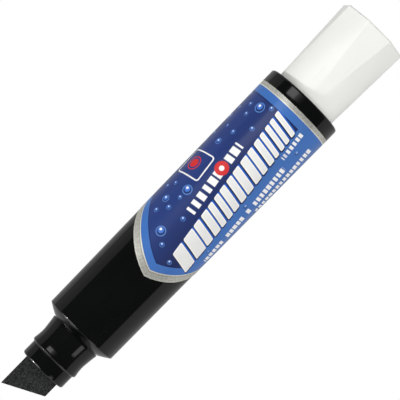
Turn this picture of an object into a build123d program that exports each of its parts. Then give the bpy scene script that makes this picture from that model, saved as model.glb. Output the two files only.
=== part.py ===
from build123d import *
from math import cos, hypot, radians, sin, tan
import os

os.makedirs("parts", exist_ok=True)

# Jumbo chisel-tip marker with its cap pushed on the rear, lying on its side.
# Millimetres, +Z up.  The axis runs along X: nib towards -X, cap towards +X,
# the label's middle faces up.  Stations along the axis are counted from the
# front edge of the barrel, where the shoulder begins, and grow towards the cap.

# Nib
nib_width = 14.0
nib_thickness = 6.4
nib_exposure = 12.6  # the long corner stands this far out of the holder
nib_edge_angle = 26.6  # the writing edge leans this far from square, in degrees
nib_step = 1.5  # the tail is this much narrower than the head, each side
nib_corner_round = 0.6
nib_edge_bevel = 0.3

# Nib holder, pressed into the neck section
holder_wall = 1.2  # outside the corners of the nib
holder_land = 5.2
holder_edge_round = 0.7
holder_spigot_wall = 1.59  # outside the corners of the nib's tail
holder_spigot_length = 9.0
holder_pocket_depth = 3.5
vent_width = 1.6
vent_depth = 0.35

# Neck section, pressed into the barrel's mouth
neck_length = 11.3  # from the barrel's lip to the rim
neck_rim_step = 0.65  # the rim stands this far outside the holder, with a chamfer as deep
neck_rim_land = 0.7
neck_waist_depth = 0.35
neck_waist_place = 0.55  # share of the way from the rim to the base
neck_base_step = 0.35
neck_groove = 0.4
neck_groove_depth = 0.5
neck_stop_wall = 1.3

# Barrel
barrel_length = 108.3
barrel_front_radius = 14.0
barrel_taper = 0.75  # growth of the radius from the front edge to the rear land
barrel_wall = 1.8
shoulder_length = 2.3
shoulder_lip = 0.3
shoulder_bulge = 0.12
shoulder_wall = 2.2
front_edge_round = 0.35
rear_land_length = 5.0
rear_land_step = 0.15
rear_edge_round = 0.8
boss_length = 7.0
boss_wall = 1.6

# Ink reservoir and its film
reservoir_room = 0.53  # between the film and the barrel
film_thickness = 0.15

# Rear plug, which also carries the cap
plug_wall = 1.6
plug_flange = 2.0
plug_skirt_length = 7.5
plug_skirt_wall = 1.7
plug_reach = 13.3  # its tube goes this far into the barrel, to hold the reservoir
post_lead = 0.8
seat_depth = 0.3  # how much wider than the barrel's inside the plug's seat is

# Label
label_thickness = 0.1
label_point = 27.9  # station of the sheet's point
label_turn = 9.8  # the point's place round the barrel, from the top towards -Y
label_wrap = 332.0  # degrees of the barrel that the sheet covers
label_point_slope = 0.3
label_lean = 0.73

# Cap and its sealing liner
cap_wall = 2.02
cap_end_wall = 1.8
cap_lip_length = 2.1
cap_flare = 1.5  # the octagon's corners stand this far outside the round mouth
cap_turn = 9.0  # the middle of one narrow facet, from the top towards -Y
cap_facets = 8
cap_narrow_angle = 11.0  # width of a narrow facet where the facets begin
cap_edge_bevel = 0.35
cap_mouth_chamfer = 0.4
liner_floor = 0.7
liner_setback = 0.8  # the end of the post stays this far short of the liner
nib_room = 1.35  # in front of the nib when the cap is over it

# Clearances
press_clearance = 0.02
running_clearance = 0.08
liner_clearance = 0.05
seal_clearance = 0.05
label_clearance = 0.02
cap_seat_gap = 0.1

# Radii, each from the piece inside it
nib_tail_width = nib_width - 2 * nib_step
holder_radius = hypot(nib_width, nib_thickness) / 2 + holder_wall
holder_spigot_radius = hypot(nib_tail_width, nib_thickness) / 2 + holder_spigot_wall
holder_seat_radius = holder_spigot_radius + press_clearance
neck_rim_radius = holder_radius + neck_rim_step
neck_waist_radius = neck_rim_radius - neck_waist_depth
neck_base_radius = neck_rim_radius + neck_base_step
neck_spigot_radius = neck_base_radius - neck_groove_depth
mouth_bore_radius = neck_spigot_radius + press_clearance
boss_radius = mouth_bore_radius + boss_wall
shoulder_mouth_radius = neck_base_radius + shoulder_lip
post_radius = neck_base_radius
cap_bore_radius = post_radius + running_clearance
cap_mouth_radius = cap_bore_radius + cap_wall
cap_end_radius = cap_mouth_radius + cap_flare
liner_radius = cap_bore_radius - liner_clearance
liner_inner_radius = holder_radius + seal_clearance
label_rear = barrel_length - rear_land_length
barrel_draft = barrel_taper / label_rear
rear_land_radius = barrel_front_radius + barrel_taper + rear_land_step
bore_front_radius = barrel_front_radius - barrel_wall
bore_rear_radius = bore_front_radius + barrel_draft * barrel_length
seat_radius = bore_rear_radius + seat_depth
skirt_radius = seat_radius - press_clearance
film_radius = bore_front_radius - reservoir_room
film_inner_radius = film_radius - film_thickness
reservoir_radius = film_inner_radius - press_clearance

# Stations
neck_base = -shoulder_length - neck_groove
neck_front = -shoulder_length - neck_length
holder_front = neck_front - holder_land
holder_back = neck_front + holder_spigot_length
nib_tip = holder_front - nib_exposure
plug_depth = plug_flange + plug_skirt_length
reservoir_start = boss_length
reservoir_end = barrel_length - plug_reach
reservoir_length = reservoir_end - reservoir_start
liner_mouth = neck_length
post_length = liner_mouth - liner_setback
liner_floor_depth = -shoulder_length - nib_tip + nib_room
liner_back = liner_floor_depth + liner_floor
cap_bore_depth = liner_back + liner_clearance
cap_length = cap_bore_depth + cap_end_wall
cap_mouth = barrel_length + cap_seat_gap

# The frame: the middle of the overall length, on the surface below the barrel
front_x = -(nib_tip + cap_mouth + cap_length) / 2
axis_height = rear_land_radius
marker_axis = Axis((front_x, 0, axis_height), (1, 0, 0))


def profile_plane(turn=0.0):
    """Half-plane through the axis: x is the station, y the radius, turned from +Z towards -Y."""
    normal = (0, -cos(radians(turn)), -sin(radians(turn)))
    return Plane(origin=(front_x, 0, axis_height), x_dir=(1, 0, 0), z_dir=normal)


def cross_plane(station):
    """Plane square to the axis: x points up and y towards -Y."""
    return Plane(origin=(front_x + station, 0, axis_height), x_dir=(0, 0, 1), z_dir=(1, 0, 0))


def around(radius, angle):
    """Point of a cross plane, by its radius and its angle in degrees."""
    return (radius * cos(radians(angle)), radius * sin(radians(angle)))


def circles_at(part, station, radius):
    """Edges of a turned part that are circles of that radius at that station."""
    place = front_x + station
    rings = part.edges().filter_by(GeomType.CIRCLE).filter_by_position(Axis.X, place, place)
    return rings.filter_by(lambda edge: abs(edge.radius - radius) < label_clearance)


with BuildPart() as barrel:
    with BuildSketch(profile_plane()):
        with BuildLine():
            lip = (-shoulder_length, shoulder_mouth_radius)
            front_edge = (0, barrel_front_radius)
            SagittaArc(front_edge, lip, shoulder_bulge)
            Polyline(
                front_edge,
                (label_rear, barrel_front_radius + barrel_taper),
                (label_rear, rear_land_radius),
                (barrel_length, rear_land_radius),
                (barrel_length, seat_radius),
                (barrel_length - plug_depth, seat_radius),
                (barrel_length - plug_depth, bore_rear_radius - barrel_draft * plug_depth),
                (shoulder_wall, bore_front_radius + barrel_draft * shoulder_wall),
                (shoulder_wall, boss_radius),
                (boss_length, boss_radius),
                (boss_length, mouth_bore_radius),
                (-shoulder_length, mouth_bore_radius),
                lip,
            )
        make_face()
    revolve(axis=marker_axis)
    fillet(circles_at(barrel, 0, barrel_front_radius), front_edge_round)
    fillet(circles_at(barrel, barrel_length, rear_land_radius), rear_edge_round)
barrel.part.label = "barrel"
export_step(barrel.part, "parts/barrel.step")


with BuildPart() as neck_section:
    chamfer_end = neck_front + neck_rim_step
    land_end = chamfer_end + neck_rim_land
    waist = land_end + neck_waist_place * (neck_base - land_end)
    throat_radius = holder_seat_radius - neck_stop_wall
    with BuildSketch(profile_plane()):
        with BuildLine():
            Polyline(
                (neck_front, holder_seat_radius),
                (neck_front, holder_radius),
                (chamfer_end, neck_rim_radius),
                (land_end, neck_rim_radius),
            )
            ThreePointArc(
                (land_end, neck_rim_radius),
                (waist, neck_waist_radius),
                (neck_base, neck_base_radius),
            )
            Polyline(
                (neck_base, neck_base_radius),
                (neck_base, neck_spigot_radius),
                (boss_length, neck_spigot_radius),
                (boss_length, throat_radius),
                (holder_back, throat_radius),
                (holder_back, holder_seat_radius),
                (neck_front, holder_seat_radius),
            )
        make_face()
    revolve(axis=marker_axis)
neck_section.part.label = "neck_section"
export_step(neck_section.part, "parts/neck_section.step")


with BuildPart() as nib_holder:
    with BuildSketch(profile_plane()):
        with BuildLine():
            Polyline(
                (holder_front, 0),
                (holder_front, holder_radius),
                (neck_front, holder_radius),
                (neck_front, holder_spigot_radius),
                (holder_back, holder_spigot_radius),
                (holder_back, 0),
                (holder_front, 0),
            )
        make_face()
    revolve(axis=marker_axis)
    fillet(circles_at(nib_holder, holder_front, holder_radius), holder_edge_round)
    # the pocket for the nib's head, and the narrower slot for its tail
    with BuildSketch(cross_plane(holder_front)):
        Rectangle(nib_thickness + press_clearance, nib_width + press_clearance)
    extrude(amount=holder_pocket_depth, mode=Mode.SUBTRACT)
    with BuildSketch(cross_plane(holder_front)):
        Rectangle(nib_thickness + press_clearance, nib_tail_width + press_clearance)
    extrude(amount=holder_land + holder_spigot_length, mode=Mode.SUBTRACT)
    # two grooves that let air in past the holder as the ink goes out
    with BuildSketch(cross_plane(neck_front)):
        with Locations((holder_spigot_radius, 0), (-holder_spigot_radius, 0)):
            Rectangle(2 * vent_depth, vent_width)
    extrude(amount=holder_spigot_length, mode=Mode.SUBTRACT)
nib_holder.part.label = "nib_holder"
export_step(nib_holder.part, "parts/nib_holder.step")


with BuildPart() as nib:
    nib_lean = nib_width * tan(radians(nib_edge_angle))
    nib_shoulder = holder_front + holder_pocket_depth
    with BuildSketch(Plane(origin=(front_x, 0, axis_height - nib_thickness / 2))):
        with BuildLine():
            Polyline(
                (nib_tip, nib_width / 2),
                (nib_tip + nib_lean, -nib_width / 2),
                (nib_shoulder, -nib_width / 2),
                (nib_shoulder, -nib_tail_width / 2),
                (boss_length, -nib_tail_width / 2),
                (boss_length, nib_tail_width / 2),
                (nib_shoulder, nib_tail_width / 2),
                (nib_shoulder, nib_width / 2),
                (nib_tip, nib_width / 2),
            )
        make_face()
    extrude(amount=nib_thickness)
    short_corner = front_x + nib_tip + nib_lean
    corner_edges = nib.edges().filter_by(Axis.Z).filter_by_position(
        Axis.X, short_corner - nib_corner_round, short_corner + nib_corner_round
    )
    fillet(corner_edges, nib_corner_round)
    writing_face = nib.faces().sort_by(Axis.X)[0]
    chamfer(writing_face.edges().filter_by(Axis.Z, reverse=True), nib_edge_bevel)
nib.part.label = "nib"
export_step(nib.part, "parts/nib.step")


with BuildPart() as ink_reservoir:
    with BuildSketch(cross_plane(reservoir_start)):
        Circle(reservoir_radius)
    extrude(amount=reservoir_length)
ink_reservoir.part.label = "ink_reservoir"
export_step(ink_reservoir.part, "parts/ink_reservoir.step")


with BuildPart() as reservoir_wrap:
    with BuildSketch(cross_plane(reservoir_start)):
        Circle(film_radius)
        Circle(film_inner_radius, mode=Mode.SUBTRACT)
    extrude(amount=reservoir_length)
reservoir_wrap.part.label = "reservoir_wrap"
export_step(reservoir_wrap.part, "parts/reservoir_wrap.step")


with BuildPart() as rear_plug:
    post_end = barrel_length + post_length
    flange_face = barrel_length - plug_flange
    skirt_end = barrel_length - plug_depth
    with BuildSketch(profile_plane()):
        with BuildLine():
            Polyline(
                (reservoir_end, post_radius - plug_wall),
                (reservoir_end, post_radius),
                (flange_face, post_radius),
                (flange_face, skirt_radius - plug_skirt_wall),
                (skirt_end, skirt_radius - plug_skirt_wall),
                (skirt_end, skirt_radius),
                (barrel_length, skirt_radius),
                (barrel_length, post_radius),
                (post_end - post_lead, post_radius),
                (post_end, post_radius - post_lead),
                (post_end, 0),
                (post_end - plug_wall, 0),
                (post_end - plug_wall, post_radius - plug_wall),
                (reservoir_end, post_radius - plug_wall),
            )
        make_face()
    revolve(axis=marker_axis)
rear_plug.part.label = "rear_plug"
export_step(rear_plug.part, "parts/rear_plug.step")


with BuildPart() as label:
    inner_start = barrel_front_radius + barrel_draft * label_point + label_clearance
    inner_end = barrel_front_radius + barrel_taper + label_clearance
    with BuildSketch(profile_plane(label_turn - label_wrap / 2)):
        with BuildLine():
            Polyline(
                (label_point, inner_start),
                (label_rear, inner_end),
                (label_rear, inner_end + label_thickness),
                (label_point, inner_start + label_thickness),
                (label_point, inner_start),
            )
        make_face()
    revolve(axis=marker_axis, revolution_arc=label_wrap)
    # Each slanting front edge of the sheet lies in a plane, and the two planes meet in a
    # line that passes through the sheet's point and leans forward as it rises.
    outward = (0, -sin(radians(label_turn)), cos(radians(label_turn)))
    sideways = (0, -cos(radians(label_turn)), -sin(radians(label_turn)))
    top_radius = inner_start + label_thickness
    point_place = (front_x + label_point, top_radius * outward[1], axis_height + top_radius * outward[2])
    die_width = 2 * rear_land_radius
    with BuildSketch(Plane(origin=point_place, x_dir=sideways, z_dir=outward)):
        with BuildLine():
            Polyline(
                (0, 0),
                (die_width, label_point_slope * die_width),
                (die_width, 2 * label_rear),
                (-die_width, 2 * label_rear),
                (-die_width, label_point_slope * die_width),
                (0, 0),
            )
        make_face()
    lean = (-label_lean, outward[1], outward[2])
    extrude(amount=2 * die_width, dir=lean, both=True, mode=Mode.INTERSECT)
label.part.label = "label"
export_step(label.part, "parts/label.step")


with BuildPart() as cap_shell:
    with BuildSketch(cross_plane(cap_mouth)):
        Circle(cap_mouth_radius)
    extrude(amount=cap_lip_length)
    # ruled facets that run from the round mouth to the octagonal end
    facet_angle = 360 / cap_facets
    with BuildSketch(cross_plane(cap_mouth + cap_lip_length)):
        with BuildLine():
            for k in range(cap_facets // 2):
                start = cap_turn - cap_narrow_angle / 2 + 2 * facet_angle * k
                Line(
                    around(cap_mouth_radius, start),
                    around(cap_mouth_radius, start + cap_narrow_angle),
                )
                ThreePointArc(
                    around(cap_mouth_radius, start + cap_narrow_angle),
                    around(cap_mouth_radius, start + cap_narrow_angle / 2 + facet_angle),
                    around(cap_mouth_radius, start + 2 * facet_angle),
                )
        make_face()
    with BuildSketch(cross_plane(cap_mouth + cap_length)):
        with BuildLine():
            for k in range(cap_facets):
                start = cap_turn + facet_angle * (k - 1 / 2)
                Line(
                    around(cap_end_radius, start),
                    around(cap_end_radius, start + facet_angle),
                )
        make_face()
    loft(ruled=True)
    chamfer(cap_shell.faces().sort_by(Axis.X)[-1].edges(), cap_edge_bevel)
    with BuildSketch(cross_plane(cap_mouth)):
        Circle(cap_bore_radius)
    extrude(amount=cap_bore_depth, mode=Mode.SUBTRACT)
    chamfer(circles_at(cap_shell, cap_mouth, cap_bore_radius), cap_mouth_chamfer)
cap_shell.part.label = "cap_shell"
export_step(cap_shell.part, "parts/cap_shell.step")


with BuildPart() as cap_liner:
    with BuildSketch(cross_plane(cap_mouth + liner_mouth)):
        Circle(liner_radius)
    extrude(amount=liner_back - liner_mouth)
    with BuildSketch(cross_plane(cap_mouth + liner_mouth)):
        Circle(liner_inner_radius)
    extrude(amount=liner_floor_depth - liner_mouth, mode=Mode.SUBTRACT)
cap_liner.part.label = "cap_liner"
export_step(cap_liner.part, "parts/cap_liner.step")
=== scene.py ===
import math
import random

import bmesh
import bpy
from mathutils import Matrix, Vector


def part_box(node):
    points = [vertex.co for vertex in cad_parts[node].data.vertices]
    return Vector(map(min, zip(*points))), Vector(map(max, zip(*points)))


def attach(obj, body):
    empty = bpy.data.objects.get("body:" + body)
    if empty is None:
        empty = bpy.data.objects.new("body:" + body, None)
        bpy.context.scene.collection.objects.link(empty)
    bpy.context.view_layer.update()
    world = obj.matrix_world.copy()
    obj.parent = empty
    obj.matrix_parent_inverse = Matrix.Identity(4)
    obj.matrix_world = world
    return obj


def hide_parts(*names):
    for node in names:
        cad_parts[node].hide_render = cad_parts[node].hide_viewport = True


# A jumbo chisel-tip marker that lies on its side, with its cap pushed on the rear.
# The frame is in metres: nib towards -X, cap towards +X, label upwards. Sizes here are
# in millimetres, and stations are counted along the axis from the barrel's front edge.

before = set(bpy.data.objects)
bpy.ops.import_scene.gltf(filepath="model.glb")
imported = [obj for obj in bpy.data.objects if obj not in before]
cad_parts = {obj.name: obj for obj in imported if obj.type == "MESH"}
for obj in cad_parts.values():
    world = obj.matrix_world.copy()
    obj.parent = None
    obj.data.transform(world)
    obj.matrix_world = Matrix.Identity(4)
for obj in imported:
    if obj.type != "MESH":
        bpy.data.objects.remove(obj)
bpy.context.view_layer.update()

mm = 0.001
shoulderLength = 2.3  # the barrel's sloping front, ahead of station 0
barrelLow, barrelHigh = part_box("barrel")
neckLow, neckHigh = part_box("neck_section")
holderLow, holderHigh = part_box("nib_holder")
nibLow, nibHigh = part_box("nib")
plugLow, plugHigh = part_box("rear_plug")
labelLow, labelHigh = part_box("label")
capLow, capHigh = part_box("cap_shell")
linerLow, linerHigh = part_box("cap_liner")

frontX = barrelLow.x + shoulderLength * mm
axisHeight = (barrelLow.z + barrelHigh.z) / 2
barrelRadius = (barrelHigh.y - barrelLow.y) / 2 / mm
postRadius = (neckHigh.y - neckLow.y) / 2 / mm
holderRadius = (holderHigh.y - holderLow.y) / 2 / mm


def stationOf(x):
    return (x - frontX) / mm


barrelEnd = stationOf(barrelHigh.x)
neckFront = stationOf(neckLow.x)
holderFront = stationOf(holderLow.x)
holderBack = stationOf(holderHigh.x)
nibTip = stationOf(nibLow.x)
nibBack = stationOf(nibHigh.x)
plugFront = stationOf(plugLow.x)
postEnd = stationOf(plugHigh.x)
labelPoint = stationOf(labelLow.x)
labelRear = stationOf(labelHigh.x)
capMouth = stationOf(capLow.x)
capEnd = stationOf(capHigh.x)
linerMouth = stationOf(linerLow.x)
linerBack = stationOf(linerHigh.x)


view = {
    "foot": 37.5,  # the station that the camera stands over
    "aim": 59.33,  # the station that it looks at
    "aside": 1.86,  # and how far that is from the axis, towards +Y
    "distance": 770,
    "turn": 45.75,  # degrees that the marker climbs in the view
    "angle": 10.03,
}


def makeCamera():
    camera = bpy.data.objects.new("camera", bpy.data.cameras.new("camera"))
    bpy.context.scene.collection.objects.link(camera)
    bpy.context.scene.camera = camera
    eye = Vector((frontX + view["foot"] * mm, 0, axisHeight + view["distance"] * mm))
    aim = Vector((frontX + view["aim"] * mm, view["aside"] * mm, axisHeight))
    turn = math.radians(view["turn"])
    back = (eye - aim).normalized()
    right = Vector((math.sin(turn), math.cos(turn), 0)).cross(back).normalized()
    facing = Matrix((right, back.cross(right), back)).transposed().to_4x4()
    camera.matrix_world = Matrix.Translation(eye) @ facing
    camera.data.angle = math.radians(view["angle"])
    camera.data.clip_start = 0.05
    camera.data.clip_end = 20
    bpy.context.scene.view_settings.view_transform = "Standard"


makeCamera()
print("camera set")


# A shader socket that is worked with like a number.
class Wire:
    def __init__(self, tree, socket=None):
        self.tree = tree
        self.socket = socket

    def node(self, kind, settings=None, feeds=None, take=0):
        made = self.tree.nodes.new("ShaderNode" + kind)
        for name, value in (settings or {}).items():
            if name == "stops":
                setStops(made.color_ramp, value)
            else:
                setattr(made, name, value)
        for name, value in (feeds or {}).items():
            if isinstance(value, Wire):
                self.tree.links.new(value.socket, made.inputs[name])
            else:
                made.inputs[name].default_value = value
        return Wire(self.tree, made.outputs[take] if len(made.outputs) else None)

    def maths(self, operation, first, second=0.0, third=0.0, clamp=False):
        settings = {"operation": operation, "use_clamp": clamp}
        return self.node("Math", settings, {0: first, 1: second, 2: third})

    def __add__(self, other):
        return self.maths("ADD", self, other)

    __radd__ = __add__

    def __sub__(self, other):
        return self.maths("SUBTRACT", self, other)

    def __rsub__(self, other):
        return self.maths("SUBTRACT", other, self)

    def __mul__(self, other):
        return self.maths("MULTIPLY", self, other)

    __rmul__ = __mul__

    def __truediv__(self, other):
        return self.maths("DIVIDE", self, other)

    def __abs__(self):
        return self.maths("ABSOLUTE", self)

    def root(self):
        return self.maths("SQRT", self)

    def lower(self, other):
        return self.maths("MINIMUM", self, other)

    def higher(self, other):
        return self.maths("MAXIMUM", self, other)

    def below(self, edge, soft):  # 1 where the value is under the edge, 0 past it
        return self.maths("MULTIPLY_ADD", self, -1 / soft, edge / soft + 0.5, clamp=True)

    def above(self, edge, soft):
        return self.maths("MULTIPLY_ADD", self, 1 / soft, 0.5 - edge / soft, clamp=True)

    def between(self, low, high, soft):
        return self.above(low, soft) * self.below(high, soft)

    def tint(self, base, over):  # the mask lays one colour over another
        return self.node("Mix", {"data_type": "RGBA"}, {0: self, 6: base, 7: over}, take=2)

    def place(self, space):
        return self.node("TexCoord", take=space)

    def part(self, axis):
        return self.node("SeparateXYZ", {}, {"Vector": self}, take=axis)

    def distance(self, point):
        return self.node("VectorMath", {"operation": "DISTANCE"}, {0: self, 1: point}, take="Value")


def setStops(ramp, stops):
    while len(ramp.elements) < len(stops):
        ramp.elements.new(1.0)
    for element, (place, value) in zip(ramp.elements, stops):
        element.position = place
        element.color = (value, value, value, 1)


def paint(red, green, blue):  # a screen colour, 0 to 255, as the shader's own linear one
    def straight(value):
        share = value / 255
        return share / 12.92 if share <= 0.04045 else ((share + 0.055) / 1.055) ** 2.4

    return (straight(red), straight(green), straight(blue), 1)


def newFinish(name):
    material = bpy.data.materials.new(name)
    material.use_nodes = True
    material.node_tree.nodes.clear()
    return material, Wire(material.node_tree)


def finishWith(wire, feeds, height, strength, distance):
    bump = {"Strength": strength, "Distance": distance * mm, "Height": height}
    feeds["Normal"] = wire.node("Bump", {}, bump)
    shader = wire.node("BsdfPrincipled", {}, feeds)
    wire.node("OutputMaterial", {}, {"Surface": shader})


def noise(wire, scale, stretch=(1, 1, 1), detail=3.0):
    # The scale counts features in a metre; a stretch under 1 draws them out along that axis.
    place = wire.node("Mapping", {}, {"Vector": wire.place("Object"), "Scale": stretch})
    feeds = {"Vector": place, "Scale": scale, "Detail": detail, "Roughness": 0.55}
    return wire.node("TexNoise", {}, feeds)


def rounded(profile, steps=5):
    # A corner of the profile is (station, radius, rounding); a rounding above 0 becomes an arc.
    rings = []
    count = len(profile)
    for k, (station, radius, rounding) in enumerate(profile):
        corner = Vector((station, radius))
        if not rounding:
            rings.append(corner)
            continue
        before = Vector(profile[k - 1][:2]) - corner
        after = Vector(profile[(k + 1) % count][:2]) - corner
        before.normalize()
        after.normalize()
        half = before.angle(after) / 2
        reach = rounding / math.tan(half)
        centre = corner + (before + after).normalized() * (rounding / math.sin(half))
        start = corner + before * reach - centre
        sweep = start.angle_signed(corner + after * reach - centre)
        for step in range(steps + 1):
            spoke = start.copy()
            spoke.rotate(Matrix.Rotation(-sweep * step / steps, 2))
            rings.append(centre + spoke)
    return [(ring.x, ring.y) for ring in rings]


def turned(name, profile, around=192, closed=True):
    # Extrudes a circle from ring to ring along the profile; an open one gets flat ends.
    rings = rounded(profile)
    if closed:
        rings.append(rings[0])
    station, radius = rings[0]
    bpy.ops.object.select_all(action="DESELECT")
    bpy.ops.mesh.primitive_circle_add(
        vertices=around, radius=radius * mm, rotation=(0, math.pi / 2, 0),
        location=(frontX + station * mm, 0, axisHeight),
    )
    bpy.ops.object.transform_apply(location=True, rotation=True, scale=True)
    piece = bpy.context.object
    piece.name = name
    bpy.ops.object.mode_set(mode="EDIT")
    bpy.ops.mesh.select_all(action="SELECT")
    for nextStation, nextRadius in rings[1:]:
        bpy.ops.mesh.extrude_edges_move(
            TRANSFORM_OT_translate={"value": ((nextStation - station) * mm, 0, 0)}
        )
        growth = nextRadius / radius
        bpy.ops.transform.resize(
            value=(1, growth, growth),
            center_override=(frontX + nextStation * mm, 0, axisHeight),
        )
        station, radius = nextStation, nextRadius
    tidyMesh(fill=not closed)
    bpy.ops.object.mode_set(mode="OBJECT")
    return piece


def tidyMesh(fill):
    bpy.ops.mesh.select_all(action="SELECT")
    bpy.ops.mesh.remove_doubles(threshold=0.001 * mm)
    if fill:
        bpy.ops.mesh.fill_holes(sides=0)
    bpy.ops.mesh.select_all(action="SELECT")
    bpy.ops.mesh.normals_make_consistent(inside=False)


def block(name, low, high):
    # A box between two corners, each (station, y, height over the axis).
    size = [(b - a) * mm for a, b in zip(low, high)]
    middle = [(a + b) / 2 * mm for a, b in zip(low, high)]
    bpy.ops.object.select_all(action="DESELECT")
    bpy.ops.mesh.primitive_cube_add(
        size=1, scale=size, location=(frontX + middle[0], middle[1], axisHeight + middle[2])
    )
    bpy.ops.object.transform_apply(location=True, rotation=True, scale=True)
    bpy.context.object.name = name
    return bpy.context.object


def pick(piece):
    bpy.ops.object.select_all(action="DESELECT")
    bpy.context.view_layer.objects.active = piece
    piece.select_set(True)


def applyModifier(piece, kind, **settings):
    pick(piece)
    modifier = piece.modifiers.new(kind.lower(), kind)
    for name, value in settings.items():
        setattr(modifier, name, value)
    bpy.ops.object.modifier_apply(modifier=modifier.name)


def cutAway(piece, cutter):
    applyModifier(piece, "BOOLEAN", operation="DIFFERENCE", solver="EXACT", object=cutter)
    bpy.data.objects.remove(cutter)


def settle(piece, body, node, material, smooth=30):
    pick(piece)
    bpy.ops.object.shade_smooth_by_angle(angle=math.radians(smooth))
    piece.data.materials.clear()
    piece.data.materials.append(material)
    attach(piece, body)
    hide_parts(node)
    print(piece.name, "made,", len(piece.data.polygons), "faces")


blackLook = {
    "deep": paint(3, 4, 4),
    "worn": paint(11, 13, 12),
    "speck": paint(66, 70, 68),
    "roughness": 0.05,
    "smudge": 0.07,
    "scratch": 0.08,
    "grain": 0.05,
}


def blackPlastic():
    look = blackLook
    material, wire = newFinish("blackPlastic")
    cloud = noise(wire, 90)
    smears = noise(wire, 260, stretch=(0.25, 1, 1), detail=5)
    scratch = noise(wire, 900, stretch=(0.04, 1, 1), detail=2).above(0.69, 0.05)
    speck = noise(wire, 2600, detail=1).above(0.83, 0.03)
    base = (cloud * 0.6 + smears * 0.4).tint(look["deep"], look["worn"])
    base = (speck * 0.35).tint(base, look["speck"])
    rough = look["roughness"] + look["smudge"] * smears + look["scratch"] * scratch
    grain = noise(wire, 420, detail=4) - 0.3 * scratch
    feeds = {"Base Color": base, "Roughness": rough, "IOR": 1.5}
    finishWith(wire, feeds, grain, strength=look["grain"], distance=0.08)
    return material


feltLook = {"dark": paint(6, 8, 7), "light": paint(60, 66, 61), "roughness": 0.75, "relief": 0.8}


def inkedFelt():
    look = feltLook
    material, wire = newFinish("inkedFelt")
    fibres = noise(wire, 2200, stretch=(0.8, 1, 1), detail=2)
    cross = noise(wire, 4000, stretch=(1, 0.8, 1), detail=2)
    strands = noise(wire, 7000, stretch=(0.2, 1, 1), detail=2)
    clumps = noise(wire, 420)
    mixed = fibres * 0.4 + cross * 0.3 + strands * 0.3
    base = mixed.above(0.56, 0.22).tint(look["dark"], look["light"])
    rough = look["roughness"] + 0.2 * clumps
    feeds = {"Base Color": base, "Roughness": rough, "Specular IOR Level": 0.25}
    finishWith(wire, feeds, mixed, strength=look["relief"], distance=0.25)
    return material


capLook = {
    "base": paint(240, 240, 236),
    "shade": paint(232, 233, 228),
    "scuff": paint(205, 205, 200),
    "roughness": 0.3,
}


def whitePlastic():
    look = capLook
    material, wire = newFinish("whitePlastic")
    cloud = noise(wire, 60, detail=4)
    scuff = noise(wire, 700, stretch=(0.08, 1, 1)).above(0.68, 0.06)
    base = cloud.tint(look["base"], look["shade"])
    base = (scuff * 0.12).tint(base, look["scuff"])
    rough = look["roughness"] + 0.12 * cloud + 0.1 * scuff
    grain = noise(wire, 1400) * 0.6 + cloud * 0.4
    feeds = {"Base Color": base, "Roughness": rough, "IOR": 1.49}
    finishWith(wire, feeds, grain, strength=0.06, distance=0.05)
    return material


linerLook = {"base": paint(226, 226, 220), "shade": paint(205, 205, 198), "roughness": 0.5}


def linerPlastic():
    look = linerLook
    material, wire = newFinish("linerPlastic")
    cloud = noise(wire, 220, detail=4)
    base = cloud.tint(look["base"], look["shade"])
    rough = look["roughness"] + 0.15 * cloud
    feeds = {"Base Color": base, "Roughness": rough, "Subsurface Weight": 0.1}
    feeds["Subsurface Scale"] = 0.5 * mm
    finishWith(wire, feeds, cloud, strength=0.08, distance=0.05)
    return material


fibreLook = {"dark": paint(10, 10, 13), "light": paint(38, 38, 44), "roughness": 0.6}


def inkedFibre():
    look = fibreLook
    material, wire = newFinish("inkedFibre")
    strands = noise(wire, 1800, stretch=(0.03, 1, 1), detail=5)
    base = strands.above(0.5, 0.3).tint(look["dark"], look["light"])
    feeds = {"Base Color": base, "Roughness": look["roughness"] + 0.3 * strands}
    finishWith(wire, feeds, strands, strength=0.6, distance=0.2)
    return material


filmLook = {
    "base": paint(225, 228, 230),
    "shade": paint(190, 194, 198),
    "roughness": 0.15,
    "cover": 0.35,
}


def clearFilm():
    look = filmLook
    material, wire = newFinish("clearFilm")
    crinkle = noise(wire, 350, stretch=(0.2, 1, 1), detail=4)
    base = crinkle.tint(look["base"], look["shade"])
    rough = look["roughness"] + 0.2 * crinkle
    feeds = {"Base Color": base, "Roughness": rough, "Alpha": look["cover"] + 0.2 * crinkle}
    finishWith(wire, feeds, crinkle, strength=0.3, distance=0.1)
    return material


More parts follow.
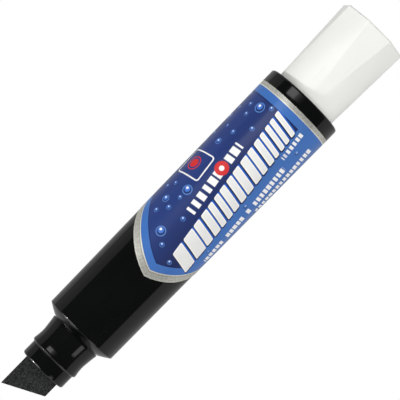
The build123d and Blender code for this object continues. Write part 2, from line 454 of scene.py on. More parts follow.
inks = {
    "panel": paint(38, 60, 122),
    "panelDeep": paint(31, 43, 90),
    "panelRim": paint(22, 30, 78),
    "sky": paint(54, 110, 184),
    "skyShade": paint(62, 105, 176),
    "dropShade": paint(24, 34, 84),
    "dropEdge": paint(96, 146, 220),
    "dropBody": paint(66, 118, 205),
    "glint": paint(246, 250, 255),
    "dimDrop": paint(40, 60, 110),
    "dimGlint": paint(120, 160, 225),
    "blockFace": paint(230, 230, 228),
    "blockRim": paint(250, 247, 236),
    "blockSide": paint(28, 96, 196),
    "blockShadow": paint(22, 32, 80),
    "white": paint(240, 240, 240),
    "red": paint(206, 40, 40),
    "silver": paint(226, 226, 218),
    "silverShade": paint(166, 166, 156),
    # the next three are painted highlight and painted shade for the silver border's bevel
    "paintedBevelHighlight": paint(246, 244, 230),
    "lip": paint(236, 236, 228),
    "paintedBevelShade": paint(120, 118, 108),
}
artwork = {
    "turn": 9.8,  # degrees from the top towards -Y, where the point is
    "wrapRadius": 14.4,
    "slope": 0.3,
    "lean": 0.73,
    "silverWidth": 2.8,
    "skyWidth": 2.8,
    "rearSilver": 1.85,
    "rearSky": 3.05,
    "rise": 8.0,  # the lines of print climb this many degrees towards the cap
    "middle": (69.0, 4.7),  # station, and arc length from the top towards -Y
    "blocks": (10.8, 7.2, 5.8, 6.6, 7.5, 6.2, 4.9, 4.9),
    "blockGap": 0.75,
    "blockStart": -30.3,
    "blockHeight": 9.0,
    "blockRounding": 0.5,
    "slotWidth": 1.1,
    "slotLean": 0.3,
    "disc": (3.7, -8.3),
    "discRadius": 2.5,
    "discHole": 0.9,
    "frame": (0.3, -18.2),
    "frameSize": (5.1, 5.9),
    "frameRounding": 1.2,
    "emblem": (0.3, -18.6),
    "emblemRadius": 1.7,
    "emblemRing": 2.7,
}
# water drops: station, arc length from the top towards -Y, radius
bigDrops = [(42.5, -4, 1.7), (58.5, -7.5, 1.7), (51.5, -11.5, 1.25), (77.5, -12.5, 1.1),
            (95, -9.5, 1.75), (86.5, -19.5, 1.2)]
smallDrops = [(46.5, -11, 0.8), (50, -8, 0.8), (55, -7.5, 0.7), (57.5, -13.5, 0.7), (55, -16, 0.6),
              (39.5, -0.5, 0.8), (50.5, -1.5, 0.8), (37, 5.5, 0.8), (83.5, -15, 0.6),
              (83, -10.5, 0.8), (88, -6, 0.8), (90.5, -12, 0.7), (94, -14, 0.7), (97.3, -6, 0.8),
              (79, -19, 0.7), (91, -18.5, 0.7), (97, -20, 0.9), (75, -20.5, 0.7)]
dimDrops = [(48.5, 14.5, 0.6), (68, 11.7, 0.8), (92.7, 11.3, 0.8)]
dropChance = random.Random(11)
for k in range(26):  # more of them lower down on the far side
    spot = (dropChance.uniform(46, 96), dropChance.uniform(-40, -22), dropChance.uniform(0.6, 1.3))
    smallDrops.append(spot)
# rows of short bars: pitch, height, middle, start, end, share left out, seed, half width
printRows = [
    (3.1, 3.3, -8.1, -14.2, 13.6, 0, 3, 0.24),
    (1.7, 1.7, 6.6, 18.2, 28.6, 0, 9, 0.26),
    (1.75, 2.6, 9.7, -25, 16, 0.12, 21, 0.28),
    (1.75, 2.6, 14.2, -1.3, 26.5, 0.12, 40, 0.28),
]
for k in range(6):
    printRows.append((1.3, 0.9, 21 + 1.9 * k, -20, 26, 0.2, 60 + 7 * k, 0.28))


def nearestDrop(flat, drops, shift=(0, 0)):
    # The distance to the nearest drop, in that drop's radii; the shift is in radii too.
    found = None
    for station, arc, radius in drops:
        centre = (station + shift[0] * radius, arc + shift[1] * radius, 0)
        gap = flat.distance(centre) * (1 / radius)
        found = gap if found is None else found.lower(gap)
    return found


def roundedBox(outAlong, outAcross, rounding):
    a = (outAlong + rounding).higher(0)
    b = (outAcross + rounding).higher(0)
    return (a * a + b * b).root() - rounding


def blockShape(along, across, shiftAlong=0, shiftAcross=0):
    # Signed distance to the row of rounded blocks, in millimetres. Each block leans, and is
    # split by a slot.
    start = artwork["blockStart"]
    nearest = None
    across = across - shiftAcross
    leaning = along + across * artwork["slotLean"] - shiftAlong
    for width in artwork["blocks"]:
        place = abs(leaning - (start + width / 2))
        gap = (place - width / 2).higher(artwork["slotWidth"] / 2 - place)
        nearest = gap if nearest is None else nearest.lower(gap)
        start += width + artwork["blockGap"]
    outAcross = abs(across) - artwork["blockHeight"] / 2
    return roundedBox(nearest, outAcross, artwork["blockRounding"])


def barRow(wire, along, across, row):
    # A row of short bars of uneven length, which stands for a line of print.
    pitch, height, middle, start, end, gaps, seed, halfWidth = row
    cell = along * (1 / pitch)
    number = wire.maths("FLOOR", cell)
    place = abs(cell - number - 0.5)
    chance = wire.node("TexWhiteNoise", {"noise_dimensions": "1D"}, {"W": number + seed})
    bar = (halfWidth + 0.16 * chance - place).above(0, 0.08) * chance.above(gaps, 0.01)
    tall = abs(across - middle).below(height / 2, 0.15)
    return bar * tall * along.between(start, end, 0.1)


def fromFrontEdge(wire, station, angle):
    # How far in from the label's pointed front edge: two slanting cuts that meet at the point.
    slope, lean = artwork["slope"], artwork["lean"]
    fromPoint = angle - math.radians(artwork["turn"])
    sine = abs(wire.maths("SINE", fromPoint))
    cosine = wire.maths("COSINE", fromPoint)
    outline = slope * sine + lean * (1 - cosine)
    steep = slope * cosine + lean * sine
    squareOn = (steep * steep + 1).root()
    return (station - labelPoint - outline * artwork["wrapRadius"]) / squareOn


def layPanel(wire, inside, fromRear, across):
    # the dark panel on the blue ground, with a darker rim
    bandEnd = artwork["silverWidth"] + artwork["skyWidth"]
    rearEnd = artwork["rearSilver"] + artwork["rearSky"]
    above = across.below(artwork["blockHeight"] / 2, 0.2)
    panel = inside.above(bandEnd, 0.2) * fromRear.above(rearEnd, 0.2) * above
    cloud = noise(wire, 35, detail=4)
    depth = across.above(-9, 12) * 0.75 + cloud * 0.25
    dark = depth.tint(inks["panel"], inks["panelDeep"])
    colour = panel.tint(cloud.tint(inks["sky"], inks["skyShade"]), dark)
    rim = inside.between(bandEnd, bandEnd + 0.3, 0.15) * above
    rearRim = fromRear.between(rearEnd - 0.15, rearEnd + 0.3, 0.15) * above
    return (rim.higher(rearRim) * 0.75).tint(colour, inks["panelRim"])


def layDrops(wire, colour, station, arc):
    # the sizes and soft edges here are in radii of the drop
    flat = wire.node("CombineXYZ", {}, {"X": station, "Y": arc})
    drops = bigDrops + smallDrops
    whole = nearestDrop(flat, drops)
    body = nearestDrop(flat, drops, shift=(0.12, -0.12)).below(0.62, 0.25)
    glint = nearestDrop(flat, drops, shift=(0.28, -0.3)).below(0.26, 0.14)
    edge = whole.between(0.86, 1.06, 0.12)
    colour = (whole.below(0.95, 0.15) * 0.85).tint(colour, inks["dropShade"])
    colour = (edge * 0.75).tint(colour, inks["dropEdge"])
    colour = body.tint(colour, inks["dropBody"])
    colour = glint.tint(colour, inks["glint"])
    dim = nearestDrop(flat, dimDrops)
    dimGlint = nearestDrop(flat, dimDrops, shift=(0.25, -0.25)).below(0.6, 0.3)
    colour = (dim.below(0.95, 0.3) * 0.85).tint(colour, inks["dimDrop"])
    return dimGlint.tint(colour, inks["dimGlint"])


def layBlocks(colour, along, across, face):
    # the row of big blocks, with its lit side and its shadow
    side = blockShape(along, across, 0.55, -0.1)
    shadow = blockShape(along, across, -0.3, 0.5)
    colour = shadow.below(0, 0.15).tint(colour, inks["blockShadow"])
    colour = side.below(0, 0.15).tint(colour, inks["blockSide"])
    colour = face.below(0, 0.12).tint(colour, inks["blockRim"])
    return face.below(-0.25, 0.15).tint(colour, inks["blockFace"])


def layBadges(wire, colour, along, across):
    # a red disc in the small row, and a white frame with a red disc and ring above it
    art = artwork
    flat = wire.node("CombineXYZ", {}, {"X": along, "Y": across})
    fromDisc = flat.distance((*art["disc"], 0))
    colour = (fromDisc - art["discRadius"]).below(0, 0.15).tint(colour, inks["red"])
    colour = (fromDisc - art["discHole"]).below(0, 0.15).tint(colour, inks["white"])
    outAlong = abs(along - art["frame"][0]) - art["frameSize"][0]
    outAcross = abs(across - art["frame"][1]) - art["frameSize"][1]
    border = roundedBox(outAlong, outAcross, art["frameRounding"]).between(-0.5, 0, 0.12)
    colour = border.tint(colour, inks["white"])
    fromEmblem = flat.distance((*art["emblem"], 0))
    ring = (fromEmblem - art["emblemRing"]).between(-0.35, 0, 0.12)
    colour = ring.tint(colour, inks["red"])
    return (fromEmblem - art["emblemRadius"]).below(0, 0.15).tint(colour, inks["red"])


def layEdges(wire, colour, inside, fromRear, silver):
    # the silver edge, with painted highlights along its inner line and outer edge, and a painted
    # shade line inside it
    width, rearWidth = artwork["silverWidth"], artwork["rearSilver"]
    brushed = noise(wire, 1900).above(0.5, 0.5)
    colour = silver.tint(colour, brushed.tint(inks["silver"], inks["silverShade"]))
    # a painted highlight: a pale line along the inner edge of the silver, front and rear
    paintedBevelHighlight = inside.between(width - 0.35, width - 0.05, 0.1)
    paintedBevelHighlight = paintedBevelHighlight.higher(fromRear.between(rearWidth - 0.3, rearWidth, 0.1))
    colour = paintedBevelHighlight.tint(colour, inks["paintedBevelHighlight"])
    # a painted highlight: a pale line along the label's outer edge
    lip = inside.between(0.08, 0.38, 0.12)
    colour = (lip * 0.5).tint(colour, inks["lip"])
    # a painted shade line inside the silver, where the border's bevel would fall into shade
    paintedBevelShade = inside.between(width - 0.8, width - 0.45, 0.2)
    return (paintedBevelShade * 0.35).tint(colour, inks["paintedBevelShade"])


labelLook = {"roughness": 0.18, "smear": 0.1, "silverRough": 0.16, "metal": 0.6, "relief": 0.08}


def printedLabel():
    look = labelLook
    material, wire = newFinish("printedLabel")
    place = wire.place("Object")
    station = (place.part("X") - frontX) * (1 / mm)
    angle = wire.maths("ARCTAN2", place.part("Y") * -1, place.part("Z") - axisHeight)
    arc = angle * artwork["wrapRadius"]
    inside = fromFrontEdge(wire, station, angle)
    fromRear = labelRear - station

    # print runs along these two, which climb towards the cap
    rise = math.radians(artwork["rise"])
    level = station - artwork["middle"][0]
    aside = arc - artwork["middle"][1]
    along = level * math.cos(rise) - aside * math.sin(rise)
    across = aside * math.cos(rise) + level * math.sin(rise)

    colour = layPanel(wire, inside, fromRear, across)
    colour = layDrops(wire, colour, station, arc)
    face = blockShape(along, across)
    colour = layBlocks(colour, along, across, face)
    bars = None
    for row in printRows:
        shape = barRow(wire, along, across, row)
        bars = shape if bars is None else bars.higher(shape)
    colour = bars.tint(colour, inks["white"])
    colour = layBadges(wire, colour, along, across)
    silver = inside.below(artwork["silverWidth"], 0.12)
    silver = silver.higher(fromRear.below(artwork["rearSilver"], 0.12))
    colour = layEdges(wire, colour, inside, fromRear, silver)

    smear = noise(wire, 180, stretch=(0.4, 1, 1), detail=4)
    rough = look["roughness"] + look["smear"] * smear + look["silverRough"] * silver
    metal = look["metal"] * silver
    feeds = {"Base Color": colour, "Roughness": rough, "Metallic": metal, "IOR": 1.48}
    relief = smear * 0.5 + bars * 0.1 + face.below(0, 0.2) * 0.2
    finishWith(wire, feeds, relief, strength=look["relief"], distance=0.05)
    return material


black = blackPlastic()
felt = inkedFelt()
white = whitePlastic()
pale = linerPlastic()
fibre = inkedFibre()
film = clearFilm()
print("plastics and fibres mixed")
printedFilm = printedLabel()
print("label printed")


barrelShape = {
    "frontRadius": 14.0,
    "taper": 0.75,
    "wall": 1.8,
    "landLength": 5.0,
    "edgeRound": 0.8,
    "frontRound": 0.45,
    "lip": 0.3,
    "swell": 0.12,
    "mouthFit": 0.48,
    "boss": 7.0,
    "bossWall": 1.6,
    "shoulderWall": 2.2,
    "plugDepth": 9.5,
    "seat": 0.3,
}


def makeBarrel():
    s = barrelShape
    land = barrelEnd - s["landLength"]
    bore = s["frontRadius"] - s["wall"]
    boreRear = bore + s["taper"] * barrelEnd / land
    seatRadius = boreRear + s["seat"]
    seatStart = barrelEnd - s["plugDepth"]
    mouth = postRadius - s["mouthFit"]
    lip = postRadius + s["lip"]
    profile = [
        (-shoulderLength, lip, 0.12),
        (-shoulderLength * 0.5, (lip + s["frontRadius"]) / 2 + s["swell"], 0),
        (0, s["frontRadius"], s["frontRound"]),
        (land, s["frontRadius"] + s["taper"], 0),
        (land, barrelRadius, 0.06),
        (barrelEnd, barrelRadius, s["edgeRound"]),
        (barrelEnd, seatRadius, 0.12),
        (seatStart, seatRadius, 0),
        (seatStart, boreRear - s["taper"] * s["plugDepth"] / land, 0),
        (s["shoulderWall"], bore, 0),
        (s["shoulderWall"], mouth + s["bossWall"], 0),
        (s["boss"], mouth + s["bossWall"], 0),
        (s["boss"], mouth, 0),
        (-shoulderLength, mouth, 0.1),
    ]
    settle(turned("barrelShell", profile), "marker_body", "barrel", black)


makeBarrel()


neckShape = {
    "rimStep": 0.65,
    "rimLand": 0.7,
    "rimDrop": 0.35,
    "waistDepth": 0.35,
    "waistPlace": 0.36,
    "waistSteps": 10,
    "flare": 1.25,
    "groove": 0.4,
    "grooveDepth": 0.5,
    "boss": 7.0,
    "seat": 7.973,
    "seatLedge": 1.3,
}


def makeNeck():
    s = neckShape
    rim = postRadius - s["rimDrop"]
    waist = rim - s["waistDepth"]
    place = s["waistPlace"]
    base = -shoulderLength - s["groove"]
    rimFront = neckFront + s["rimStep"]
    rimEnd = rimFront + s["rimLand"]
    profile = [(neckFront, holderRadius, 0.12), (rimFront, rim, 0.25), (rimEnd, rim, 0.2)]
    for k in range(1, s["waistSteps"]):
        share = k / s["waistSteps"]
        if share < place:
            climb = (1 - share / place) ** 2 * s["waistDepth"]
        else:
            climb = ((share - place) / (1 - place)) ** s["flare"] * (postRadius - waist)
        profile.append((rimEnd + share * (base - rimEnd), waist + climb, 0))
    profile += [
        (base, postRadius, 0.1),
        (base, postRadius - s["grooveDepth"], 0),
        (s["boss"], postRadius - s["grooveDepth"], 0),
        (s["boss"], s["seat"] - s["seatLedge"], 0),
        (holderBack, s["seat"] - s["seatLedge"], 0),
        (holderBack, s["seat"], 0),
        (neckFront, s["seat"], 0.05),
    ]
    settle(turned("neckSleeve", profile), "marker_body", "neck_section", black)


makeNeck()


holderShape = {
    "edge": 0.7,
    "frontFlat": 7.5,
    "backFlat": 5.0,
    "spigot": 7.953,
    "pocket": 3.5,
    "headWidth": 14.02,
    "headThickness": 6.42,
    "tailWidth": 11.02,
    "ventWidth": 1.6,
    "ventDepth": 0.35,
    "overcut": 1,
}


def makeHolder():
    s = holderShape
    profile = [
        (holderFront, s["frontFlat"], 0),
        (holderFront, holderRadius, s["edge"]),
        (neckFront, holderRadius, 0.08),
        (neckFront, s["spigot"], 0),
        (holderBack, s["spigot"], 0.2),
        (holderBack, s["backFlat"], 0),
    ]
    holder = turned("nibHolder", profile, closed=False)
    head, tail, thick = s["headWidth"] / 2, s["tailWidth"] / 2, s["headThickness"] / 2
    over = s["overcut"]
    pocketEnd = holderFront + s["pocket"]
    pocket = block("pocketCut", (holderFront - over, -head, -thick), (pocketEnd, head, thick))
    cutAway(holder, pocket)
    slot = block("slotCut", (pocketEnd - over, -tail, -thick), (holderBack + over, tail, thick))
    cutAway(holder, slot)
    half = s["ventWidth"] / 2
    for side in (1, -1):
        low = side * s["spigot"] - s["ventDepth"]
        high = low + 2 * s["ventDepth"]
        vent = block("ventCut", (neckFront, -half, low), (holderBack + over, half, high))
        cutAway(holder, vent)
    settle(holder, "marker_body", "nib_holder", black)


makeHolder()


nibShape = {
    "width": 14.0,
    "thickness": 6.4,
    "edgeAngle": 26.6,
    "tailWidth": 11.0,
    "corner": 0.6,
    "bevel": 0.3,
    "voxel": 0.19,
    "fuzz": 0.05,
    "pitSize": 0.9,
    "fibreSize": 0.35,
}


def makeNib():
    s = nibShape
    half, thick = s["width"] / 2, s["thickness"] / 2
    shoulder = holderFront + holderShape["pocket"]
    nib = block("feltNib", (nibTip, -half, -thick), (shoulder, half, thick))
    lean = s["width"] * math.tan(math.radians(s["edgeAngle"]))
    margin = 0.1
    bpy.ops.object.mode_set(mode="EDIT")
    bpy.ops.mesh.select_all(action="DESELECT")
    mesh = bmesh.from_edit_mesh(nib.data)
    for vertex in mesh.verts:
        vertex.select = vertex.co.x < frontX + (nibTip + margin) * mm and vertex.co.y < 0
    mesh.select_flush(True)
    bpy.ops.transform.translate(value=(lean * mm, 0, 0))
    # the tail is drawn out of the back face, narrower than the head
    bpy.ops.mesh.select_all(action="DESELECT")
    mesh = bmesh.from_edit_mesh(nib.data)
    for face in mesh.faces:
        face.select = face.normal.x > 0.9
    bmesh.update_edit_mesh(nib.data)
    bpy.ops.mesh.extrude_region_move(TRANSFORM_OT_translate={"value": (0, 0, 0)})
    bpy.ops.transform.resize(value=(1, s["tailWidth"] / s["width"], 1))
    tailLength = (nibBack - shoulder) * mm
    bpy.ops.mesh.extrude_region_move(TRANSFORM_OT_translate={"value": (tailLength, 0, 0)})
    # the blunt corner of the slanted edge is rounded
    bpy.ops.mesh.select_all(action="DESELECT")
    mesh = bmesh.from_edit_mesh(nib.data)
    for edge in mesh.edges:
        a, b = (vertex.co for vertex in edge.verts)
        middle = (a + b) / 2
        upright = abs((a - b).normalized().z) > 0.9
        inFront = middle.x < frontX + (nibTip + lean + margin) * mm
        edge.select = upright and inFront and middle.y < 0
    bmesh.update_edit_mesh(nib.data)
    bpy.ops.mesh.bevel(offset=s["corner"] * mm, segments=6)
    bpy.ops.mesh.select_all(action="SELECT")
    bpy.ops.mesh.normals_make_consistent(inside=False)
    bpy.ops.object.mode_set(mode="OBJECT")
    applyModifier(nib, "BEVEL", width=s["bevel"] * mm, segments=3, limit_method="ANGLE",
                  angle_limit=math.radians(50))
    applyModifier(nib, "REMESH", mode="VOXEL", voxel_size=s["voxel"] * mm)
    applyModifier(nib, "SMOOTH", factor=0.5, iterations=1)
    # a felt's uneven face: small hollows and standing fibre ends, pressed inwards
    for name, size in (("feltPits", s["pitSize"]), ("feltFibres", s["fibreSize"])):
        texture = bpy.data.textures.new(name, "CLOUDS")
        texture.noise_scale = size * mm
        texture.noise_depth = 2
        texture.contrast = 1.4
        applyModifier(nib, "DISPLACE", texture=texture, texture_coords="GLOBAL",
                      strength=s["fuzz"] * mm, mid_level=1.0)
    settle(nib, "marker_body", "nib", felt, smooth=180)


makeNib()


plugShape = {
    "wall": 1.6,
    "flange": 2.0,
    "depth": 9.5,
    "skirt": 1.7,
    "skirtRadius": 13.27,
    "lead": 0.8,
    "dish": 4.0,
    "dishSlope": 0.3,
    "dishDepth": 0.35,
}


def makePlug():
    s = plugShape
    inner = postRadius - s["wall"]
    skirtInner = s["skirtRadius"] - s["skirt"]
    profile = [
        (postEnd - s["wall"], inner, 0),
        (plugFront, inner, 0),
        (plugFront, postRadius, 0.15),
        (barrelEnd - s["flange"], postRadius, 0),
        (barrelEnd - s["flange"], skirtInner, 0),
        (barrelEnd - s["depth"], skirtInner, 0),
        (barrelEnd - s["depth"], s["skirtRadius"], 0.2),
        (barrelEnd, s["skirtRadius"], 0.12),
        (barrelEnd, postRadius, 0.05),
        (postEnd - s["lead"], postRadius, 0.3),
        (postEnd, postRadius - s["lead"], 0.15),
        (postEnd, s["dish"], 0),
        (postEnd - s["dishDepth"], s["dish"] - s["dishSlope"], 0),
    ]
    plug = turned("rearPlug", profile, closed=False)
    settle(plug, "marker_body", "rear_plug", black)


makePlug()


labelShape = {"wrap": 332.0, "clearance": 0.02, "thickness": 0.1, "along": 120, "around": 240}


def makeLabel():
    s = labelShape
    middle = math.radians(artwork["turn"])
    growth = barrelShape["taper"] / labelRear
    radiusStart = barrelShape["frontRadius"] + growth * labelPoint + s["clearance"]
    radiusEnd = barrelShape["frontRadius"] + barrelShape["taper"] + s["clearance"]
    first = middle - math.radians(s["wrap"] / 2)  # the sheet's one edge, under the barrel
    outward = Vector((0, -math.sin(first), math.cos(first)))
    bpy.ops.object.select_all(action="DESELECT")
    bpy.ops.mesh.primitive_plane_add(size=1)
    sheet = bpy.context.object
    sheet.name = "labelSheet"
    # the plane gives the one edge, which is spun round the barrel
    bpy.ops.object.mode_set(mode="EDIT")
    bpy.ops.mesh.select_all(action="DESELECT")
    mesh = bmesh.from_edit_mesh(sheet.data)
    for vertex in mesh.verts:
        vertex.select = vertex.co.y > 0
    mesh.select_flush(True)
    bpy.ops.mesh.delete(type="VERT")
    mesh = bmesh.from_edit_mesh(sheet.data)
    centre = Vector((frontX, 0, axisHeight))
    for vertex in mesh.verts:
        rear = vertex.co.x > 0
        station = labelRear if rear else labelPoint
        reach = radiusEnd if rear else radiusStart
        vertex.co = centre + Vector((station * mm, 0, 0)) + outward * reach * mm
        vertex.select = True
    mesh.select_flush(True)
    bmesh.update_edit_mesh(sheet.data)
    bpy.ops.mesh.subdivide(number_cuts=s["along"])
    bpy.ops.mesh.spin(steps=s["around"], angle=math.radians(s["wrap"]), center=centre,
                      axis=(1, 0, 0))
    bpy.ops.mesh.select_all(action="SELECT")
    bpy.ops.mesh.remove_doubles(threshold=0.001 * mm)
    # two slanting cuts meet at the point
    upwards = Vector((0, -math.sin(middle), math.cos(middle)))
    sideways = Vector((0, -math.cos(middle), -math.sin(middle)))
    height = (radiusStart + s["thickness"]) * mm
    point = centre + Vector((labelPoint * mm, 0, 0)) + upwards * height
    slant = upwards + Vector((-artwork["lean"], 0, 0))
    for side in (1, -1):
        run = sideways * side + Vector((artwork["slope"], 0, 0))
        normal = run.cross(slant) * -side
        if normal.x < 0:
            normal.negate()
        bpy.ops.mesh.select_all(action="SELECT")
        bpy.ops.mesh.bisect(plane_co=point, plane_no=normal, clear_inner=True)
    bpy.ops.mesh.select_all(action="SELECT")
    bpy.ops.mesh.normals_make_consistent(inside=False)
    bpy.ops.object.mode_set(mode="OBJECT")
    applyModifier(sheet, "SOLIDIFY", thickness=s["thickness"] * mm, offset=1.0)
    settle(sheet, "marker_body", "label", printedFilm, smooth=35)


makeLabel()


capShape = {
    "mouthRadius": 11.997,
    "endRadius": 13.497,
    "boreRadius": 9.977,
    "boreDepth": 31.2,
    "leadIn": 0.4,
    "lip": 2.1,
    "turn": 9.0,  # degrees that the octagon stands turned from the top
    "narrow": 11.0,  # degrees that every second side takes at the mouth
    "narrowSteps": 3,
    "wideSteps": 17,
    "rows": 12,
    "edge": 0.35,
    "ridge": 0.28,
    "mouthRound": 0.25,
    "mouthSteps": 3,
    "gate": 1.1,
    "gateDepth": 0.25,
}


def polar(radius, degrees):
    angle = math.radians(degrees)
    return Vector((-radius * math.sin(angle), radius * math.cos(angle)))  # y and height


def capPoint(share, side, step, steps):
    # A point of the outside: round at the mouth, an octagon at the end, straight in between.
    s = capShape
    narrow = side % 2 == 0
    start = s["turn"] - s["narrow"] / 2 + 90 * (side // 2) + (0 if narrow else s["narrow"])
    width = s["narrow"] if narrow else 90 - s["narrow"]
    along = step / steps
    if narrow:
        near = polar(s["mouthRadius"], start).lerp(polar(s["mouthRadius"], start + width), along)
    else:
        near = polar(s["mouthRadius"], start + width * along)
    corner = s["turn"] + 45 * (side - 0.5)
    far = polar(s["endRadius"], corner).lerp(polar(s["endRadius"], corner + 45), along)
    return near.lerp(far, share)


def capRing(share, radius=None):
    # The outside's ring at a share of the length, or a round one with as many points.
    s = capShape
    ring = []
    for side in range(8):
        steps = s["narrowSteps"] if side % 2 == 0 else s["wideSteps"]
        for step in range(steps):
            point = capPoint(share, side, step, steps)
            if radius is not None:
                point = point.normalized() * radius
            ring.append(point)
    return ring


def capRings():
    s = capShape
    inner = s["boreRadius"]
    rings = [
        (capMouth + s["boreDepth"], capRing(0, inner)),
        (capMouth + s["leadIn"], capRing(0, inner)),
        (capMouth, capRing(0, inner + s["leadIn"])),
    ]
    for k in range(s["mouthSteps"] + 1):
        angle = math.pi / 2 * k / s["mouthSteps"]
        radius = s["mouthRadius"] - s["mouthRound"] * (1 - math.sin(angle))
        station = capMouth + s["mouthRound"] * (1 - math.cos(angle))
        rings.append((station, capRing(0, radius)))
    lipEnd = capMouth + s["lip"]
    rings.append((lipEnd, capRing(0)))
    straight = capEnd - s["edge"] - lipEnd
    for k in range(1, s["rows"] + 1):
        run = straight * k / s["rows"]
        rings.append((lipEnd + run, capRing(run / (capEnd - lipEnd))))
    inset = 1 - s["edge"] / s["endRadius"]
    rings.append((capEnd, [point * inset for point in capRing(1)]))
    return rings


def placeRing(vertices, station, ring):
    for vertex, point in zip(vertices, ring):
        vertex.co = (frontX + station * mm, point.x * mm, axisHeight + point.y * mm)


def softenRidges(cap):
    s = capShape
    bpy.ops.mesh.select_all(action="DESELECT")
    mesh = bmesh.from_edit_mesh(cap.data)
    start = frontX + (capMouth + s["lip"] - 0.01) * mm
    for edge in mesh.edges:
        a, b = (vertex.co for vertex in edge.verts)
        lengthwise = abs((a - b).normalized().x) > 0.9
        bent = len(edge.link_faces) == 2 and edge.calc_face_angle(0) > math.radians(4)
        outside = math.hypot(a.y, a.z - axisHeight) > (s["mouthRadius"] - 0.5) * mm
        edge.select = lengthwise and bent and outside and min(a.x, b.x) > start
    bmesh.update_edit_mesh(cap.data)
    bpy.ops.mesh.bevel(offset=s["ridge"] * mm, segments=3)


def makeCap():
    s = capShape
    rings = capRings()
    count = len(rings[0][1])
    bpy.ops.object.select_all(action="DESELECT")
    bpy.ops.mesh.primitive_circle_add(vertices=count, radius=s["boreRadius"] * mm)
    cap = bpy.context.object
    cap.name = "capShell"
    bpy.ops.object.mode_set(mode="EDIT")
    mesh = bmesh.from_edit_mesh(cap.data)
    mesh.verts.ensure_lookup_table()
    placeRing(mesh.verts, *rings[0])
    bmesh.update_edit_mesh(cap.data)
    bpy.ops.mesh.select_all(action="SELECT")
    for station, ring in rings[1:]:
        bpy.ops.mesh.extrude_edges_move(TRANSFORM_OT_translate={"value": (0.1 * mm, 0, 0)})
        mesh = bmesh.from_edit_mesh(cap.data)
        mesh.verts.ensure_lookup_table()
        placeRing(mesh.verts[-count:], station, ring)
        bmesh.update_edit_mesh(cap.data)
    tidyMesh(fill=True)
    softenRidges(cap)
    bpy.ops.object.mode_set(mode="OBJECT")
    gateProfile = [(capEnd - s["gateDepth"], s["gate"], 0), (capEnd + 1, s["gate"] * 1.2, 0)]
    cutAway(cap, turned("gateCut", gateProfile, around=48, closed=False))
    settle(cap, "cap", "cap_shell", white, smooth=24)


makeCap()


linerShape = {"outer": 9.927, "inner": 8.947, "floor": 0.7, "floorRound": 0.4, "backRound": 1}


def makeLiner():
    s = linerShape
    profile = [
        (linerBack - s["floor"], s["inner"] - s["floorRound"], 0),
        (linerBack - s["floor"], s["inner"], 0.3),
        (linerMouth, s["inner"], 0.3),
        (linerMouth, s["outer"], 0.15),
        (linerBack, s["outer"], 0.2),
        (linerBack, s["outer"] - s["backRound"], 0),
    ]
    liner = turned("capLiner", profile, closed=False)
    settle(liner, "cap_slider", "cap_liner", pale)


makeLiner()

# the two inner parts keep their plain solids
for nodeName, material in (("ink_reservoir", fibre), ("reservoir_wrap", film)):
    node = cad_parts[nodeName]
    node.data.materials.clear()
    node.data.materials.append(material)
print("inner parts finished")


studio = {
    "reach": 0.9,
    "overhead": 8.1,
    "key": 4.4,
    "fill": 2.2,
    "rearCard": 2.3,
    "edgeCard": 4.5,
    "frontCard": 1.35,
    "floorSize": 6,
}


def glowPaint(name, strength, pattern=None):
    material, wire = newFinish(name + "Paint")
    colour = pattern(wire) if pattern else (1, 1, 1, 1)
    shader = wire.node("Emission", {}, {"Color": colour, "Strength": strength})
    wire.node("OutputMaterial", {}, {"Surface": shader})
    return material


def plane(name, size, material):
    bpy.ops.object.select_all(action="DESELECT")
    bpy.ops.mesh.primitive_plane_add(size=1)
    made = bpy.context.object
    made.name = name
    made.data.materials.append(material)
    made.scale = (size[0], size[1], 1)
    return made


def hide(piece, *rays):
    for ray in rays:
        setattr(piece, "visible_" + ray, False)


def aimed(piece, aside, along):
    # Puts a light or a card on a sphere round the marker: degrees from overhead towards +Y,
    # then degrees towards +X.
    a, b = math.radians(aside), math.radians(along)
    away = Vector((math.sin(b), math.cos(b) * math.sin(a), math.cos(b) * math.cos(a)))
    first = Vector((0, -math.cos(a), math.sin(a)))
    facing = Matrix((first, away.cross(first), away)).transposed().to_4x4()
    size = Matrix.Diagonal((*piece.scale, 1))
    piece.matrix_world = Matrix.Translation(away * studio["reach"]) @ facing @ size


def lamp(name, direction, size, power, gloss):
    light = bpy.data.lights.new(name, "AREA")
    light.shape = "RECTANGLE"
    light.size, light.size_y = size, size
    light.energy = power
    made = bpy.data.objects.new(name, light)
    bpy.context.scene.collection.objects.link(made)
    aimed(made, *direction)
    made.visible_glossy = gloss
    hide(made, "camera")


def card(name, direction, spread, pattern=None):
    # It stands in the gloss alone, and spans the given degrees seen from the marker.
    size = [2 * studio["reach"] * math.tan(math.radians(degrees) / 2) for degrees in spread]
    made = plane(name, size, glowPaint(name, studio[name], pattern))
    aimed(made, *direction)
    hide(made, "camera", "diffuse", "shadow")


sheenLook = {
    "level": 0.29,
    "nearSide": 0.14,
    "middle": 0.03,
    "seam": 0.14,
    "ahead": 0.3,
    "edge": 0.05,
    "seamWidth": 0.008,
}


def floorSheen(wire):
    # what the gloss sees of the floor: brighter on one side, with a dark seam on the other
    look = sheenLook
    place = wire.place("Object")
    across = place.part("Y") * studio["floorSize"]
    ahead = place.part("X") * studio["floorSize"]
    near = across.below(look["edge"], 0.003)
    seam = across.between(look["edge"], look["edge"] + look["seamWidth"], 0.002)
    level = near * look["nearSide"] + across.below(0, 0.02) * look["middle"]
    level = level - seam * look["seam"] + look["level"]
    return level + (ahead + abs(across) * 0.5).below(-0.1, 0.04) * look["ahead"]


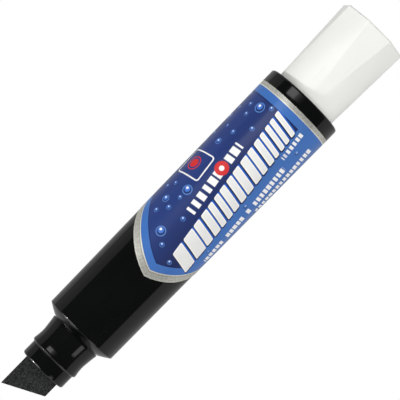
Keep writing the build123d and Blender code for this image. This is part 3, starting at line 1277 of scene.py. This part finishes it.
def rearGlow(wire):
    place = wire.place("UV")
    fromTop = 1 - place.part("X")  # 0 overhead, 1 at the far side
    ramp = [(0.0, 0.02), (0.2, 0.09), (0.4, 0.3), (0.52, 0.95), (0.86, 1.0), (0.97, 0.0)]
    fade = place.part("Y").between(0.03, 0.9, 0.08)
    return wire.node("ValToRGB", {"stops": ramp}, {"Fac": fromTop}) * fade


def frontGlow(wire):
    place = wire.place("UV")
    return place.part("X").between(0.1, 0.9, 0.16) * place.part("Y").between(0.05, 0.93, 0.1)


# the camera alone sees the white floor, and the gloss and soft light see the sheen
floorSpan = (studio["floorSize"], studio["floorSize"])
floor = plane("floor", floorSpan, glowPaint("floor", 1.0))
hide(floor, "glossy", "diffuse")
sheen = plane("floorSheen", floorSpan, glowPaint("floorSheen", 1.0, floorSheen))
sheen.location.z = -0.5 * mm
hide(sheen, "camera", "shadow")

lamp("overhead", (-2, 3), 1.6, studio["overhead"], gloss=False)
lamp("key", (58, -37), 0.1, studio["key"], gloss=True)
lamp("fillOne", (55, 5), 0.8, studio["fill"], gloss=False)
lamp("fillTwo", (-55, 5), 0.8, studio["fill"] * 1.85, gloss=False)
card("rearCard", (26, 14.2), (52, 21), rearGlow)
card("edgeCard", (50, -44), (50, 34))
card("frontCard", (-54, -33.5), (22, 42), frontGlow)
print("lamps and cards placed")


skyLook = {"high": 0.05, "low": 0.46, "sideDim": 0.17, "horizon": 0.24, "sideDrop": 0.08}


def makeSky():
    look = skyLook
    world = bpy.data.worlds.new("studio")
    bpy.context.scene.world = world
    world.use_nodes = True
    world.node_tree.nodes.clear()
    wire = Wire(world.node_tree)
    direction = wire.place("Generated")
    side = direction.part("Y").above(0, 0.2)
    low = (look["horizon"] - look["sideDrop"] * side - direction.part("Z")).above(0, 0.02)
    level = low * (look["low"] - look["sideDim"] * side - look["high"]) + look["high"]
    shader = wire.node("Background", {}, {"Color": level, "Strength": 1.0})
    wire.node("OutputWorld", {}, {"Surface": shader})


makeSky()
print("studio lit")
